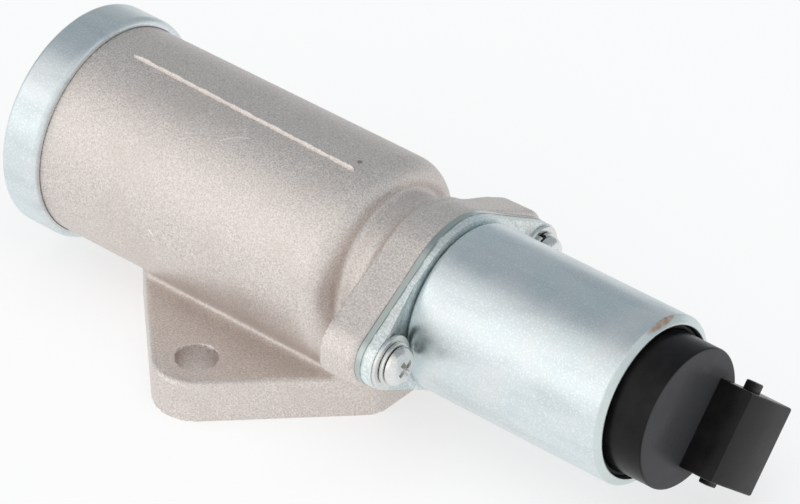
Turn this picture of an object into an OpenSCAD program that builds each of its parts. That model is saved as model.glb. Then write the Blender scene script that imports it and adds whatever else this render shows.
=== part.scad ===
// Idle air control valve: a cast body with a round silencer drum, closed by a steel cap,
// on a square mounting plate, and a solenoid with a moulded connector on the other end.
// Millimetres. The origin is the centre of the mounting face, +Z is up out of that face,
// and +X runs along the valve's axis from the cap to the connector.

/* [Mounting plate] */
// Distance between the two mounting holes
bolt_spacing = 62; // [50:0.5:80]
// Diameter of the mounting holes
bolt_hole_d = 9.2; // [6:0.1:11]
// Thickness of the mounting plate
plate_t = 10; // [6:0.5:14]
// Radius of the plate's corners round the mounting holes
plate_corner_r = 9.7; // [7:0.1:14]
// Distance from the centre to the cut ends under the drum and the flange
plate_cut_x = 33.5; // [30:0.5:38]
// Radius at the ends of the cuts
plate_cut_r = 4; // [2:0.5:8]
// Rounding of the plate's upper edge
plate_edge_r = 1.2; // [0.4:0.1:2.5]
// Diameter of the two air ports
port_d = 17; // [10:0.5:20]
// Place of the inlet port along the axis
inlet_x = -13.5; // [-18:0.5:-11]
// Place of the outlet port along the axis
outlet_x = 15; // [12:0.5:20]

/* [Cast body] */
// Height of the valve's axis above the mounting face
axis_h = 29; // [28:0.5:36]
// Outer diameter of the drum
drum_d = 48; // [44:0.5:54]
// Wall of the drum at its open end
drum_wall = 4; // [2.5:0.25:6]
// Where the drum's shoulder starts
shoulder_x = 21.6; // [18:0.1:22.5]
// Radius of the drum's shoulder
shoulder_r = 5.3; // [4:0.1:6]
// Outer diameter of the neck
neck_d = 35; // [33:0.5:37]
// Fillet between the neck and the flange
neck_fillet = 3.4; // [2.4:0.1:4.5]
// Fillet between the drum and the plate
drum_fillet = 1; // [0.5:0.1:3]
// Radius of the inlet chamber
inlet_chamber_r = 17; // [14:0.5:19]
// Radius of the outlet chamber
outlet_chamber_r = 14; // [12.8:0.1:14.5]
// Thickness of the wall that carries the seat
seat_wall_t = 4; // [3:0.5:6]
// Width of the parting rib on top of the drum
rib_w = 0.9; // [0.6:0.1:2]
// Height of the parting rib at its higher end
rib_h = 0.8; // [0.3:0.1:2]
// Distance of the parting rib from the middle
rib_y = 1.9; // [0:0.1:4]

/* [Flange and bracket] */
// Distance between the two bracket screws
screw_spacing = 50.5; // [50.2:0.1:56]
// Radius of the flange over its middle
flange_mid_r = 19.7; // [19:0.1:24]
// Radius of the cast flange's ears
flange_ear_r = 7.4; // [6.6:0.1:9]
// Radius of the steel bracket's ears
bracket_ear_r = 6.4; // [5.6:0.1:8]
// Thickness of the cast flange at its middle
flange_t = 8.8; // [8:0.1:12]
// Turn of the flange and the bracket away from square to the axis
flange_turn = 1.9; // [0:0.1:2]
// Front face of the cast flange, on the axis
flange_face_x = 43; // [42:0.1:50]
// Thickness of the steel bracket at its ears
bracket_t = 4; // [3:0.1:6]
// Depth of the dish that seats the solenoid, on its deeper side
dish_depth = 1.6; // [1.6:0.1:2.2]
// Radius of the dish at the bracket's face, on its deeper side
dish_r = 26; // [23:0.5:30]
// Height of the smooth band on the bracket's sheared edge
shear_band = 1.3; // [0.5:0.1:2]
// Thread diameter of the bracket screws
screw_d = 5; // [3:0.5:6]
// Length of the bracket screws under the head
screw_len = 12; // [9:0.5:14]
// Diameter of the screw heads
screw_head_d = 8.2; // [7:0.1:10]
// Height of the screw heads
screw_head_h = 2.2; // [2:0.1:4]
// Outer diameter of the flat washers
flat_washer_d = 11.8; // [9.6:0.1:12]
// Thickness of the flat washers
flat_washer_t = 0.8; // [0.5:0.1:1.5]
// Thickness of the lock washers
lock_washer_t = 1.1; // [0.6:0.1:1.6]

/* [End cap] */
// Outer diameter of the end cap
cap_d = 51.6; // [50:0.1:58]
// Height of the end cap
cap_h = 9.9; // [7:0.1:16]
// Sheet thickness of the end cap
cap_t = 1.2; // [0.8:0.1:1.2]
// Outer end of the cap, along the axis
cap_x = -61.2; // [-70:0.1:-55]
// Thickness of the gasket under the cap
cap_gasket_t = 1.5; // [0.5:0.1:2]

/* [Solenoid] */
// Outer diameter of the can
can_d = 38; // [37:0.5:39]
// Wall of the can
can_wall = 2; // [1:0.1:2.5]
// Length of the can
can_len = 51; // [48:0.5:60]
// Radius of the can's lower corner
can_corner_r = 1.3; // [0.5:0.1:1.6]
// Rounding of the can's outer lip
can_lip_r = 1.7; // [0.3:0.1:1.8]
// Length of the lip's rounding along the can
can_lip_len = 2.7; // [1:0.1:3]
// Thickness of the front pole and the rear flux washer
pole_t = 3; // [2:0.5:4]
// Outer diameter of the plunger's guide sleeve
sleeve_d = 14.3; // [13:0.1:16]
// Wall of the guide sleeve
sleeve_wall = 0.45; // [0.3:0.05:0.8]
// Length of the plunger
plunger_len = 28; // [24:0.5:30]
// Thickness of the bobbin's end flanges
bobbin_flange_t = 1.5; // [1:0.1:2.5]
// Outer radius of the winding
winding_r = 15.4; // [12:0.1:16]

/* [Valve] */
// How far the valve opens
travel = 3; // [1.5:0.5:4]
// Diameter of the stem
stem_d = 5; // [4:0.5:6]
// Inner radius of the seat
seat_r = 9; // [7:0.5:10]
// Width of the seat's face
seat_w = 1.6; // [1:0.1:2]
// Radius of the valve disc
disc_r = 11.5; // [11.2:0.1:12.2]
// Thickness of the valve disc
disc_t = 3; // [2:0.5:4]
// Mean radius of the return spring
spring_r = 8; // [7.9:0.1:8.3]
// Wire diameter of the return spring
spring_wire = 1.1; // [0.7:0.1:1.3]
// Number of turns of the return spring
spring_turns = 8; // [5:1:10]

/* [Connector] */
// Diameter of the moulded plug
plug_d = 31.5; // [29:0.5:32]
// Outer face of the plug, along the axis
plug_face_x = 106; // [102:0.5:112]
// Width of the connector shroud
shroud_w = 20; // [17:0.1:24]
// Offset of the connector shroud from the axis
shroud_shift = 0.3; // [0:0.1:1]
// Depth of the connector shroud, back wall to mouth
shroud_len = 19.1; // [16:0.1:24]
// Height of the connector shroud over the plug's face
shroud_h = 8; // [7.6:0.1:12]
// Distance from the axis to the shroud's back wall
shroud_back = 4.8; // [2:0.1:8]
// Angle of the connector's mouth below the horizontal
shroud_angle = 40; // [0:5:90]
// Wall of the connector shroud
shroud_wall = 1.4; // [1:0.1:1.6]
// Depth of the connector's socket
socket_depth = 13; // [10:0.5:14]
// Width of the two terminal blades
blade_w = 2.8; // [1.5:0.1:3]
// Thickness of the terminal blades
blade_t = 0.8; // [0.5:0.1:1]
// Distance between the blades
blade_pitch = 7.6; // [7:0.1:9]

/* [Clearances] */
// Radial play of the stem and the plunger in their guides
slide_play = 0.08; // [0.02:0.01:0.1]
// Radial play of pieces that drop into each other
fit_play = 0.1; // [0.05:0.05:0.2]
// Gap beside soft pieces
soft_gap = 0.3; // [0.1:0.1:0.5]
// Radial play that a pressed piece is drawn with
press_play = 0.02; // [0.01:0.01:0.05]

/* [Hidden] */
$fn = 96;
hull_fn = 32;
eps = 0.01;
through = 1;

drum_r = drum_d / 2;
drum_bore_r = drum_r - drum_wall;
cap_lip_x = cap_x + cap_h;
cap_inner_x = cap_x + cap_t;
drum_end_x = cap_inner_x + cap_gasket_t;
cap_curl = cap_t;
bead_r = cap_d / 2 - cap_t - fit_play;
bead_end_x = cap_lip_x - cap_curl - fit_play;
cap_lip_play = 0.15;
seat_wall_x = -3;
seat_wall_end_x = seat_wall_x + seat_wall_t;
step_x = -24;
neck_r = neck_d / 2;
flange_back_x = flange_face_x - flange_t;
bracket_face_x = flange_face_x + bracket_t;
can_x = bracket_face_x + dish_r * tan(flange_turn) - dish_depth;
can_r = can_d / 2;
can_bore_r = can_r - can_wall;
can_end_x = can_x + can_len;
can_floor_x = can_x + can_wall;
sleeve_r = sleeve_d / 2;
sleeve_bore_r = sleeve_r - sleeve_wall;
pole_x = can_floor_x;
pole_end_x = pole_x + pole_t;
hub_r = sleeve_r + 2.2;
hub_start_x = flange_face_x - 2.2;
flux_end_x = can_end_x - 4;
flux_x = flux_end_x - pole_t;
bobbin_x = pole_end_x + fit_play;
bobbin_end_x = flux_x - fit_play;
bobbin_tube_r = sleeve_r + 1.4;
air_gap = travel + 0.6;
plunger_x = pole_end_x - 2;
plunger_end_x = plunger_x + plunger_len;
core_x = plunger_end_x + air_gap;
stem_r = stem_d / 2;
stem_x = step_x - 4;
stem_end_x = plunger_x + 12;
seat_rim_t = 1;
seat_face_x = seat_wall_end_x + seat_rim_t;
disc_x = seat_face_x;
disc_hub_r = spring_r - spring_wire / 2 - 0.4;
disc_hub_t = 2;
spring_x = disc_x + disc_t;
spring_end_x = hub_start_x;
plug_r = plug_d / 2;
plug_shoulder_end_x = flux_end_x + 1.8;
plate_half_diagonal = bolt_spacing / 2 + plate_corner_r * sqrt(2);
cut_corner_x = plate_cut_x - plate_cut_r;
cut_corner_y = plate_half_diagonal - plate_cut_r * sqrt(2) - cut_corner_x;
shroud_top_x = plug_face_x + shroud_h;
socket_h = shroud_h - 2 * shroud_wall;
socket_x = plug_face_x + shroud_wall;
blade_x = socket_x + socket_h / 2;
blade_tip = shroud_back + shroud_len - 5.4;
blade_root = shroud_back + 2;
screw_head_rise = bracket_t + flat_washer_t + lock_washer_t;

// Turns a shape drawn along +Z so that it lies along the valve's axis, along +X
module along_axis(x = 0) {
    translate([x, 0, axis_h])
        rotate([0, 90, 0])
            children();
}

// Ring or disc on the axis, from one place along it to another
module ring(x0, x1, r, bore_r = 0) {
    along_axis(x0)
        difference() {
            cylinder(h = x1 - x0, r = r);
            if (bore_r > 0)
                translate([0, 0, -through])
                    cylinder(h = x1 - x0 + 2 * through, r = bore_r);
        }
}

// Solid of revolution on the axis, from points given as [radius, place along the axis]
module turned(points) {
    along_axis()
        rotate_extrude()
            polygon(points);
}

// Points of an arc, as [radius, place along the axis], about a centre
function arc(c, r, from, to, n = 8) =
    [for (i = [0 : n]) let (a = from + (to - from) * i / n) [c[0] + r * cos(a), c[1] + r * sin(a)]];

// Outline of the flange and the bracket: a middle disc, two ears, and their tangents
module ear_outline(mid_r, ear_r) {
    ear_y = screw_spacing / 2;
    lean = asin((mid_r - ear_r) / ear_y);
    mid = [mid_r * cos(lean), mid_r * sin(lean)];
    ear = [ear_r * cos(lean), ear_y + ear_r * sin(lean)];
    circle(r = mid_r);
    for (side = [-1, 1])
        translate([0, side * ear_y])
            circle(r = ear_r);
    polygon([
        [mid[0], mid[1]], [ear[0], ear[1]], [-ear[0], ear[1]], [-mid[0], mid[1]],
        [-mid[0], -mid[1]], [-ear[0], -ear[1]], [ear[0], -ear[1]], [mid[0], -mid[1]]
    ]);
}

// Turns a shape drawn along +Z so that it stands on the flange's face
module on_flange(height = 0) {
    translate([flange_face_x, 0, axis_h])
        rotate([0, 0, flange_turn])
            rotate([0, 90, 0])
                translate([0, 0, height])
                    children();
}

// Places its children at both bracket screws, at a height over the flange's face
module at_screws(height) {
    on_flange(height)
        for (side = [-1, 1])
            translate([0, side * screw_spacing / 2, 0])
                children();
}

// Corner of the mounting plate, with its rounded upper edge
module plate_corner(r) {
    rotate_extrude($fn = hull_fn)
        polygon(concat(
            [[0, 0], [r, 0]],
            arc([r - plate_edge_r, plate_t - plate_edge_r], plate_edge_r, 0, 90, 4),
            [[0, plate_t]]
        ));
}

// Square plate set at 45 degrees, cut off under the drum and the flange
module mounting_plate() {
    hull() {
        for (side = [-1, 1]) {
            translate([0, side * bolt_spacing / 2, 0])
                plate_corner(plate_corner_r);
            for (end = [-1, 1])
                translate([end * cut_corner_x, side * cut_corner_y, 0])
                    plate_corner(plate_cut_r);
        }
    }
}

// Fillets where the drum meets the plate, kept inside the plate's edges
module plate_fillets() {
    centre_z = plate_t + drum_fillet;
    centre_y = sqrt(pow(drum_r + drum_fillet, 2) - pow(axis_h - centre_z, 2));
    touch = atan2(axis_h - centre_z, -centre_y);
    side_len = (plate_half_diagonal - plate_edge_r) * sqrt(2);
    intersection() {
        for (side = [0, 1])
            mirror([0, side, 0])
                translate([-plate_cut_x, 0, 0])
                    rotate([90, 0, 90])
                        linear_extrude(height = 2 * plate_cut_x)
                            polygon(concat(
                                arc([centre_y, centre_z], drum_fillet, touch, 270, 8),
                                [[centre_y, plate_t - 1], [centre_y - 6, plate_t - 1], [centre_y - 6, plate_t + 3]]
                            ));
        rotate([0, 0, 45])
            translate([-side_len / 2, -side_len / 2, 0])
                cube([side_len, side_len, axis_h]);
    }
}

// Drum, shoulder and neck as one turned outline, with the bead that the cap is rolled over
module drum_and_neck() {
    shoulder_fillet = drum_r - shoulder_r - neck_r;
    neck_end_x = flange_back_x + 0.6;
    fillet_end = acos((flange_mid_r - 0.1 - neck_r - neck_fillet) / neck_fillet);
    turned(concat(
        [[0, drum_end_x], [bead_r, drum_end_x], [bead_r, bead_end_x], [drum_r, bead_end_x]],
        arc([drum_r - shoulder_r, shoulder_x], shoulder_r, 0, 90, 10),
        arc([neck_r + shoulder_fillet, shoulder_x + shoulder_r + shoulder_fillet], shoulder_fillet, 270, 180, 5),
        arc([neck_r + neck_fillet, neck_end_x - neck_fillet], neck_fillet, 180, fillet_end, 6),
        [[flange_mid_r - 0.1, neck_end_x + 1], [0, neck_end_x + 1]]
    ));
}

// Thin rib along the parting line on top of the drum, higher towards the shoulder
module drum_rib() {
    rib_start_x = cap_lip_x + 8;
    rib_end_x = 19.5;
    translate([0, rib_w / 2 - rib_y, axis_h])
        rotate([90, 0, 0])
            linear_extrude(height = rib_w)
                polygon([
                    [rib_start_x, drum_r - 1], [rib_end_x, drum_r - 1],
                    [rib_end_x, drum_r + rib_h], [rib_start_x, drum_r]
                ]);
}

// Cast flange: its far flank is relieved, its ears have a worn front edge
module cast_flange() {
    ear_y = screw_spacing / 2;
    front_round = 0.9;
    lean = asin((flange_mid_r - flange_ear_r) / ear_y);
    difference() {
        union() {
            on_flange(-flange_t)
                linear_extrude(height = flange_t - front_round)
                    ear_outline(flange_mid_r, flange_ear_r);
            on_flange(-front_round - eps)
                hull() {
                    cylinder(h = front_round + eps, r = flange_mid_r);
                    for (side = [-1, 1])
                        translate([0, side * ear_y, 0])
                            cylinder(h = front_round + eps, r1 = flange_ear_r, r2 = flange_ear_r - 0.8);
                }
        }
        // Relief on the back edge of the far flank
        translate([flange_face_x, 0, axis_h])
            rotate([-lean, 0, 0])
                translate([-6.1, -1.5, flange_mid_r])
                    rotate([0, 0, 10.7])
                        rotate([0, 45, 0])
                            translate([-20, -30, -10])
                                cube([20, 80, 40]);
    }
}

module valve_body() {
    color([0.76, 0.73, 0.71])
        difference() {
            union() {
                mounting_plate();
                plate_fillets();
                drum_and_neck();
                drum_rib();
                cast_flange();
            }
            // Bore from the open end to the step, the inlet chamber, the seat and the outlet chamber
            ring(drum_end_x - through, step_x, drum_bore_r);
            ring(step_x - eps, seat_wall_x, inlet_chamber_r);
            ring(seat_wall_x - eps, seat_wall_end_x + eps, seat_r + seat_w);
            ring(seat_wall_end_x, flange_face_x + 2 * through, outlet_chamber_r);
            // Groove for the seal behind the bracket
            on_flange(-1.8)
                cylinder(h = 1.8 + through, r = 16.4);
            for (x = [inlet_x, outlet_x])
                translate([x, 0, -through])
                    cylinder(h = axis_h + through, d = port_d);
            for (side = [-1, 1])
                translate([0, side * bolt_spacing / 2, -through])
                    cylinder(h = plate_t + 2 * through, d = bolt_hole_d);
            at_screws(-flange_t - through)
                cylinder(h = flange_t + 2 * through, d = screw_d + 2 * fit_play);
        }
}

module end_cap() {
    cap_r = cap_d / 2;
    lip_r = 1.5;
    end_r = 1.2;
    panel_r = 19;
    panel_depth = 0.8;
    lip_bore_r = drum_r + cap_lip_play;
    color([0.72, 0.77, 0.80])
        turned(concat(
            [[0, cap_x + panel_depth], [panel_r - panel_depth, cap_x + panel_depth], [panel_r, cap_x]],
            arc([cap_r - end_r, cap_x + end_r], end_r, -90, 0),
            arc([cap_r - lip_r, cap_lip_x - lip_r], lip_r, 0, 90),
            [
                [lip_bore_r, cap_lip_x], [lip_bore_r, cap_lip_x - cap_curl], [cap_r - cap_t, cap_lip_x - cap_curl],
                [cap_r - cap_t, cap_inner_x], [panel_r + cap_t, cap_inner_x],
                [panel_r + cap_t - panel_depth, cap_inner_x + panel_depth], [0, cap_inner_x + panel_depth]
            ]
        ));
}

module cap_gasket() {
    color([0.12, 0.12, 0.12])
        ring(cap_inner_x, drum_end_x, drum_r - soft_gap, panel_gasket_r());
}

// Inner radius of the gasket, outside the cap's pressed panel
function panel_gasket_r() = drum_bore_r + 0.6;

module silencer_foam() {
    foam_bore_r = 9;
    color([0.25, 0.25, 0.26])
        ring(cap_inner_x + 0.8 + soft_gap, step_x - 2 - soft_gap, drum_bore_r - soft_gap, foam_bore_r);
}

// Pressed disc on the step, with air holes round the stem's bush
module guide_plate() {
    plate_x = step_x - 2;
    hole_r = 3.5;
    hole_ring_r = 12;
    color([0.62, 0.64, 0.66])
        difference() {
            ring(plate_x, step_x, drum_bore_r - fit_play, bush_r() + press_play);
            for (a = [0 : 60 : 300])
                along_axis(plate_x - through)
                    rotate([0, 0, a])
                        translate([hole_ring_r, 0, 0])
                            cylinder(h = 2 + 2 * through, r = hole_r);
        }
}

// Outer radius of the stem's bush
function bush_r() = stem_r + 2;

module stem_bush() {
    collar_r = bush_r() + 1.5;
    color([0.62, 0.48, 0.25])
        difference() {
            union() {
                ring(step_x - 3, step_x - 2, collar_r);
                ring(step_x - 2 - eps, step_x + 3, bush_r());
            }
            ring(step_x - 3 - through, step_x + 3 + through, stem_r + slide_play);
        }
}

module valve_seat() {
    color([0.70, 0.58, 0.32])
        difference() {
            union() {
                ring(seat_wall_x, seat_wall_end_x, seat_r + seat_w - press_play);
                ring(seat_wall_end_x, seat_face_x, seat_r + seat_w + 0.8);
            }
            ring(seat_wall_x - through, seat_face_x + through, seat_r);
        }
}

module valve_disc() {
    color([0.70, 0.70, 0.68])
        difference() {
            union() {
                ring(disc_x, disc_x + disc_t, disc_r);
                ring(disc_x + disc_t - eps, disc_x + disc_t + disc_hub_t, disc_hub_r);
            }
            ring(disc_x - through, disc_x + disc_t + disc_hub_t + through, stem_r + press_play);
        }
}

module valve_stem() {
    color([0.75, 0.76, 0.78])
        ring(stem_x, stem_end_x, stem_r);
}

module disc_clip() {
    color([0.35, 0.36, 0.38])
        ring(disc_x - 1, disc_x, stem_r + 2, stem_r + press_play);
}

// Closed coil as a swept octagon: its points follow from the radius, the turns and the length
module return_spring() {
    wire_r = spring_wire / 2;
    steps = 24;
    sides = 8;
    total = steps * spring_turns;
    run = spring_end_x - spring_x - 2 * wire_r - 0.1;
    // The first and last turns lie nearly flat on their seats
    function along(t) = t < 1 ? t * wire_r * 2.1
        : t > spring_turns - 1 ? run - (spring_turns - t) * wire_r * 2.1
        : wire_r * 2.1 + (t - 1) / (spring_turns - 2) * (run - wire_r * 4.2);
    points = [
        for (i = [0 : total], k = [0 : sides - 1])
            let (turn = i / steps, a = 360 * turn, b = 360 * k / sides, r = spring_r + wire_r * cos(b))
                [r * cos(a), r * sin(a), along(turn) + wire_r * sin(b)]
    ];
    walls = [
        for (i = [0 : total - 1], k = [0 : sides - 1])
            let (n = (k + 1) % sides)
                [i * sides + k, i * sides + n, (i + 1) * sides + n, (i + 1) * sides + k]
    ];
    start = [for (k = [sides - 1 : -1 : 0]) k];
    finish = [for (k = [0 : sides - 1]) total * sides + k];
    color([0.55, 0.57, 0.60])
        along_axis(spring_x + wire_r + 0.05)
            polyhedron(points = points, faces = concat([start, finish], walls), convexity = 10);
}

module plunger() {
    color([0.66, 0.68, 0.70])
        difference() {
            ring(plunger_x, plunger_end_x, sleeve_bore_r - slide_play);
            ring(plunger_x - through, stem_end_x + 0.5, stem_r + press_play);
        }
}

module guide_sleeve() {
    color([0.78, 0.66, 0.36])
        ring(hub_start_x, flux_x - 1, sleeve_r, sleeve_bore_r);
}

// Front pole: a disc on the can's floor, and a hub through the can and the bracket
module front_pole() {
    color([0.60, 0.62, 0.64])
        difference() {
            union() {
                ring(pole_x, pole_end_x, can_bore_r - fit_play);
                ring(hub_start_x, pole_x + eps, hub_r);
            }
            ring(hub_start_x - through, pole_end_x + through, sleeve_r + press_play);
        }
}

module pole_core() {
    color([0.60, 0.62, 0.64])
        ring(core_x, flux_end_x, sleeve_bore_r - press_play);
}

module rear_flux_washer() {
    color([0.60, 0.62, 0.64])
        ring(flux_x, flux_end_x, can_bore_r - fit_play, sleeve_bore_r);
}

module coil_bobbin() {
    flange_r = winding_r + 0.8;
    color([0.20, 0.20, 0.19])
        difference() {
            union() {
                ring(bobbin_x, bobbin_end_x, bobbin_tube_r);
                ring(bobbin_x, bobbin_x + bobbin_flange_t, flange_r);
                ring(bobbin_end_x - bobbin_flange_t, bobbin_end_x, flange_r);
            }
            ring(bobbin_x - through, bobbin_end_x + through, sleeve_r + fit_play);
        }
}

module coil_winding() {
    color([0.70, 0.36, 0.18])
        ring(
            bobbin_x + bobbin_flange_t, bobbin_end_x - bobbin_flange_t,
            winding_r, bobbin_tube_r + press_play
        );
}

module solenoid_can() {
    color([0.70, 0.77, 0.80])
        turned(concat(
            [[hub_r + fit_play, can_x]],
            arc([can_r - can_corner_r, can_x + can_corner_r], can_corner_r, -90, 0),
            [for (p = arc([0, 0], 1, 0, 90))
                [can_r - can_lip_r + can_lip_r * p[0], can_end_x - can_lip_len + can_lip_len * p[1]]],
            [[can_bore_r, can_end_x], [can_bore_r, can_floor_x], [hub_r + fit_play, can_floor_x]]
        ));
}

// Stamped steel bracket, dished round the can, with a smooth and a torn band on its edge
module mounting_bracket() {
    torn_inset = 0.15;
    dish_floor_r = can_r + 1.3;
    color([0.74, 0.78, 0.78])
        difference() {
            union() {
                on_flange()
                    linear_extrude(height = shear_band)
                        ear_outline(flange_mid_r, bracket_ear_r);
                on_flange()
                    linear_extrude(height = bracket_t)
                        ear_outline(flange_mid_r - torn_inset, bracket_ear_r - torn_inset);
            }
            turned([
                [0, can_x], [dish_floor_r, can_x], [dish_r, can_x + dish_depth], [dish_r, can_x + bracket_t + 2],
                [0, can_x + bracket_t + 2]
            ]);
            ring(flange_face_x - 2 * through, bracket_face_x + through, hub_r + fit_play);
            at_screws(-through)
                cylinder(h = bracket_t + 2 * through, d = screw_d + 4 * fit_play);
        }
}

module bracket_seal() {
    groove_depth = 1.8;
    section_r = groove_depth / 2 - 0.05;
    color([0.10, 0.10, 0.10])
        on_flange(-groove_depth / 2)
            rotate_extrude()
                translate([16.4 - section_r - 0.1, 0])
                    circle(r = section_r, $fn = 24);
}

// Cross-recessed head with a rounded rim, on a plain shank
module bracket_screws() {
    head_r = screw_head_d / 2;
    rim_r = 1.7;
    recess_depth = 1.5;
    arm_len = 4.4;
    arm_w = 1.1;
    color([0.80, 0.81, 0.80])
        at_screws(screw_head_rise) {
            difference() {
                union() {
                    rotate_extrude()
                        polygon(concat(
                            [[0, 0], [head_r, 0]],
                            arc([head_r - rim_r, screw_head_h - rim_r], rim_r, 0, 90),
                            [[0, screw_head_h]]
                        ));
                    translate([0, 0, -screw_len])
                        cylinder(h = screw_len + eps, d = screw_d);
                }
                for (turn = [0, 90])
                    rotate([0, 0, turn + 20])
                        translate([-arm_len / 2, -arm_w / 2, screw_head_h - recess_depth])
                            cube([arm_len, arm_w, recess_depth + through]);
            }
        }
}

// Spring washer with its slanted split
module lock_washers() {
    split_w = 0.7;
    washer_r = screw_head_d / 2 + 0.4;
    color([0.70, 0.71, 0.70])
        at_screws(bracket_t + flat_washer_t)
            difference() {
                cylinder(h = lock_washer_t, r = washer_r);
                translate([0, 0, -through])
                    cylinder(h = lock_washer_t + 2 * through, d = screw_d + 2 * fit_play);
                rotate([0, 0, 200])
                    translate([screw_d / 4, 0, lock_washer_t / 2])
                        rotate([25, 0, 0])
                            translate([0, -split_w / 2, -2 * lock_washer_t])
                                cube([washer_r, split_w, 4 * lock_washer_t]);
            }
}

module flat_washers() {
    color([0.78, 0.79, 0.78])
        at_screws(bracket_t)
            difference() {
                cylinder(h = flat_washer_t, d = flat_washer_d);
                translate([0, 0, -through])
                    cylinder(h = flat_washer_t + 2 * through, d = screw_d + 4 * fit_play);
            }
}

// Turns a shape so that +X points out of the connector's mouth, +Y across it and +Z along the axis
module at_connector() {
    along_axis()
        rotate([0, 0, 90 - shroud_angle])
            children();
}

// One blade: a leg inside the plug, bent into the socket
module blade(side, play = 0) {
    leg_start_x = flux_end_x + 3;
    at_connector()
        translate([0, shroud_shift + side * blade_pitch / 2 - blade_w / 2 - play, 0]) {
            translate([blade_root - play, 0, blade_x - blade_t / 2 - play])
                cube([blade_tip - blade_root + 2 * play, blade_w + 2 * play, blade_t + 2 * play]);
            translate([blade_root - play, 0, leg_start_x - play])
                cube([blade_t + 2 * play, blade_w + 2 * play, blade_x + blade_t / 2 - leg_start_x + 2 * play]);
        }
}

// Rectangle with rounded corners, from the origin
module rounded_rectangle(size_x, size_y, r) {
    translate([r, 0])
        square([size_x - 2 * r, size_y]);
    translate([0, r])
        square([size_x, size_y - 2 * r]);
    for (x = [r, size_x - r], y = [r, size_y - r])
        translate([x, y])
            circle(r = r, $fn = 32);
}

// Plug with its shoulder in the can, and the connector shroud across its face
module connector_housing() {
    edge_r = 0.6;
    lug_len = 4;
    lug_out = 1.9;
    lug_h = 2.4;
    lug_x = shroud_top_x - 5;
    lug_start = 9.4;
    color([0.13, 0.13, 0.14])
        difference() {
            union() {
                turned(concat(
                    [[0, flux_end_x], [can_bore_r - fit_play, flux_end_x], [can_bore_r - fit_play, plug_shoulder_end_x]],
                    [[plug_r, plug_shoulder_end_x]],
                    arc([plug_r - edge_r, plug_face_x - edge_r], edge_r, 0, 90, 4),
                    [[0, plug_face_x]]
                ));
                at_connector() {
                    translate([shroud_back, shroud_shift - shroud_w / 2, plug_face_x - eps])
                        linear_extrude(height = shroud_h + eps)
                            rounded_rectangle(shroud_len, shroud_w, 0.6);
                    translate([lug_start, shroud_shift - shroud_w / 2 - 0.65 * lug_out, lug_x])
                        cube([lug_len, shroud_w + 1.75 * lug_out, lug_h]);
                }
            }
            at_connector()
                translate([
                    shroud_back + shroud_len - socket_depth,
                    shroud_shift + shroud_wall - shroud_w / 2,
                    socket_x
                ])
                    cube([socket_depth + through, shroud_w - 2 * shroud_wall, socket_h]);
            for (side = [-1, 1])
                blade(side, press_play);
        }
}

module connector_seal() {
    section_r = (can_bore_r - plug_r) / 2 - 0.05;
    color([0.08, 0.08, 0.08])
        along_axis(plug_shoulder_end_x + section_r + 0.05)
            rotate_extrude()
                translate([(can_bore_r + plug_r) / 2, 0])
                    circle(r = section_r, $fn = 24);
}

module terminal_blades() {
    color([0.80, 0.76, 0.62])
        for (side = [-1, 1])
            blade(side);
}

valve_body();
end_cap();
cap_gasket();
silencer_foam();
guide_plate();
stem_bush();
valve_seat();
valve_disc();
valve_stem();
disc_clip();
return_spring();
plunger();
guide_sleeve();
front_pole();
pole_core();
rear_flux_washer();
coil_bobbin();
coil_winding();
solenoid_can();
mounting_bracket();
bracket_seal();
bracket_screws();
lock_washers();
flat_washers();
connector_housing();
connector_seal();
terminal_blades();
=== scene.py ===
"""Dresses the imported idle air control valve.

It adds a rounded casting, plated sheet steel, domed screws and a moulded connector.
"""

import math

import bmesh
import bpy
from mathutils import Matrix, Vector


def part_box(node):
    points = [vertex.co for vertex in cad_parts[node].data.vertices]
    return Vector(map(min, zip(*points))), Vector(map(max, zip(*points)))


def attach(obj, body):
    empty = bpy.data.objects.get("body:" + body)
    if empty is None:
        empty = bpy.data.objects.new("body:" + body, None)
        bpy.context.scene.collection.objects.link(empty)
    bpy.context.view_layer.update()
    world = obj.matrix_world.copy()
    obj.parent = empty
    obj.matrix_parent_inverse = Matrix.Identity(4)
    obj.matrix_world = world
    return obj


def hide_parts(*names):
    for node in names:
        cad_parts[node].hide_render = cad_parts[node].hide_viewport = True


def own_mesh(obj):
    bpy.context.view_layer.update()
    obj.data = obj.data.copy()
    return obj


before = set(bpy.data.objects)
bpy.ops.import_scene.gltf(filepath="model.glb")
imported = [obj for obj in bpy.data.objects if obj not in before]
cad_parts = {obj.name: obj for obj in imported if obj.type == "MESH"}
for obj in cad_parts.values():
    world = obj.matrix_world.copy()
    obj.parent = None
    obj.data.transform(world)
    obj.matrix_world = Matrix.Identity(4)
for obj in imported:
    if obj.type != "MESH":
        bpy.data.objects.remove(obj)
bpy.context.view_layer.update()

bl_info = {
    "name": "Idle air control valve",
    "version": (1, 0, 0),
    "blender": (4, 5, 0),
    "location": "3D View > Sidebar > Valve",
    "description": "Builds the visible pieces and finishes of an idle air control valve",
    "category": "Object",
}

MM = 0.001
HOUSING = "housing"
AXIS_HEIGHT = 29 * MM
FLANGE_FACE = Vector((43 * MM, 0, AXIS_HEIGHT))
FLANGE_TURN = math.radians(1.9)
SCREW_SPACING = 50.5 * MM
BRACKET_THICKNESS = 4 * MM
BRACKET_SMOOTH_SHADED_BAND = (1.3 * MM, 1.6 * MM)
CONNECTOR_TURN = math.radians(50)
PLUG_FACE = 106 * MM
LIP_DEPTH = 1.0 * MM
LIT_POINT = Vector((0.02, 0, AXIS_HEIGHT))
MERGE_DISTANCE = 0.004 * MM


# Places on the valve


def on_axis():
    """Matrix that lays a piece drawn up +Z along the valve's axis."""
    return Matrix.Translation((0, 0, AXIS_HEIGHT)) @ Matrix.Rotation(math.pi / 2, 4, "Y")


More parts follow.
